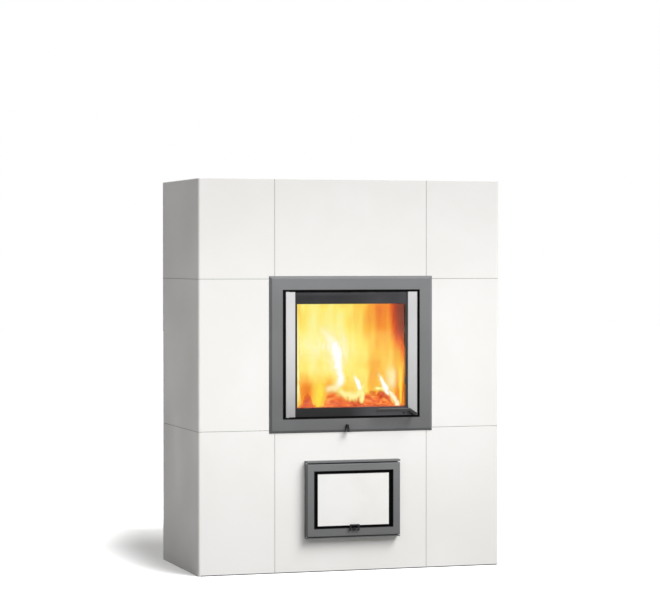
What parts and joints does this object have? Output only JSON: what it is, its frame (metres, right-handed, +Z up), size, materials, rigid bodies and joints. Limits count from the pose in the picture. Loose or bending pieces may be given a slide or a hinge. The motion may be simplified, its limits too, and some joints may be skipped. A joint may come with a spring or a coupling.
{
  "type": "tiled stove",
  "caption": "Free-standing heat-storage stove of large white blocks, with a glazed fire door in a grey trim frame and a lower ash hatch faced with a white tile.",
  "frame": {"origin": "on the floor, at the middle of the surround's rectangular footprint", "axes": "+Z up, +Y from the front face to the back, +X to the right as seen from the front"},
  "size_m": [1.212, 0.645, 1.5],
  "materials": {
    "black_sheet": "matt black heat-proof paint",
    "black_cast": "satin black cast iron",
    "galvanised": "galvanised sheet",
    "steel": "bare steel",
    "chamotte": "sooty sand-coloured fire brick",
    "zinc": "zinc plated",
    "ceramic_glass": "clear heat-proof ceramic glass",
    "rope": "braided glass-fibre rope and tape",
    "aluminium": "fine brushed",
    "firewood": "charred and glowing split logs",
    "concrete": "rough cast heat-proof concrete",
    "flue_steel": "grey-black stove pipe paint",
    "white_glaze": "smooth white silk glaze, thin grey joints",
    "grey_enamel": "satin grey stove paint",
    "hatch_white": "white glazed tile"
  },
  "bodies": {
    "root": {"air_box": "black_sheet", "air_pipe": "galvanised", "ash_bin": "galvanised", "ash_chute": "galvanised", "baffle": "chamotte", "block_tie_plates": "zinc", "block_tie_screws": "zinc", "convection_casing": "galvanised", "firebox_front": "black_sheet", "firebox_shell": "black_sheet", "firewood_logs": "firewood", "floor_brick": "chamotte", "floor_slab": "concrete", "flue_collar": "flue_steel", "flue_elbow": "flue_steel", "flue_rosette": "flue_steel", "flue_spigot": "flue_steel", "front_panel_bottom": "white_glaze", "front_panel_top": "white_glaze", "grate": "black_cast", "hatch_catch": "zinc", "hatch_frame": "grey_enamel", "hatch_pins": "steel", "hinge_brackets": "black_sheet", "hinge_pins": "steel", "insert_stand": "black_sheet", "latch_keeper": "steel", "left_corner_block_bottom": "white_glaze", "left_corner_block_middle": "white_glaze", "left_corner_block_top": "white_glaze", "levelling_feet": "zinc", "rear_brick": "chamotte", "rear_panel_bottom": "concrete", "rear_panel_middle": "concrete", "rear_panel_top": "concrete", "right_corner_block_bottom": "white_glaze", "right_corner_block_middle": "white_glaze", "right_corner_block_top": "white_glaze", "side_bricks": "chamotte", "storage_blocks": "concrete", "top_slab": "white_glaze", "trim_frame": "grey_enamel", "trim_spacers": "black_sheet"},
    "door": {"door_frame": "black_cast", "door_glass": "ceramic_glass", "glass_gasket": "rope", "glass_clips": "steel", "door_strip_left": "aluminium", "door_strip_right": "aluminium", "door_seal": "rope", "door_screws": "black_sheet"},
    "handle": {"door_handle": "black_cast", "latch_tongue": "steel"},
    "air_control": {"air_lever": "black_cast", "air_valve_disc": "steel"},
    "hatch": {"hatch_leaf": "grey_enamel", "hatch_carrier": "black_sheet", "hatch_tile": "hatch_white", "hatch_pull": "black_cast"},
    "keeper_roller": {"keeper_roller": "steel"}
  },
  "joints": [
    {"name": "door_hinge", "type": "hinge", "parent": "root", "child": "door", "pos_m": [-0.256, -0.2775, 0.8325], "axis": [0, 0, -1], "range_deg": [0, 100]},
    {"name": "handle_turn", "type": "hinge", "parent": "door", "child": "handle", "pos_m": [0.245, -0.2785, 0.602], "axis": [0, 1, 0], "range_deg": [0, 35]},
    {"name": "air_lever_turn", "type": "hinge", "parent": "root", "child": "air_control", "pos_m": [-0.021, -0.2785, 0.5595], "axis": [0, 1, 0], "range_deg": [-45, 45]},
    {"name": "hatch_hinge", "type": "hinge", "parent": "root", "child": "hatch", "pos_m": [-0.183, -0.2915, 0.2755], "axis": [0, 0, -1], "range_deg": [0, 100]},
    {"name": "roller_spin", "type": "hinge", "parent": "root", "child": "keeper_roller", "pos_m": [0.25355, -0.2642, 0.62117], "axis": [0, 1, 0], "continuous": true}
  ]
}
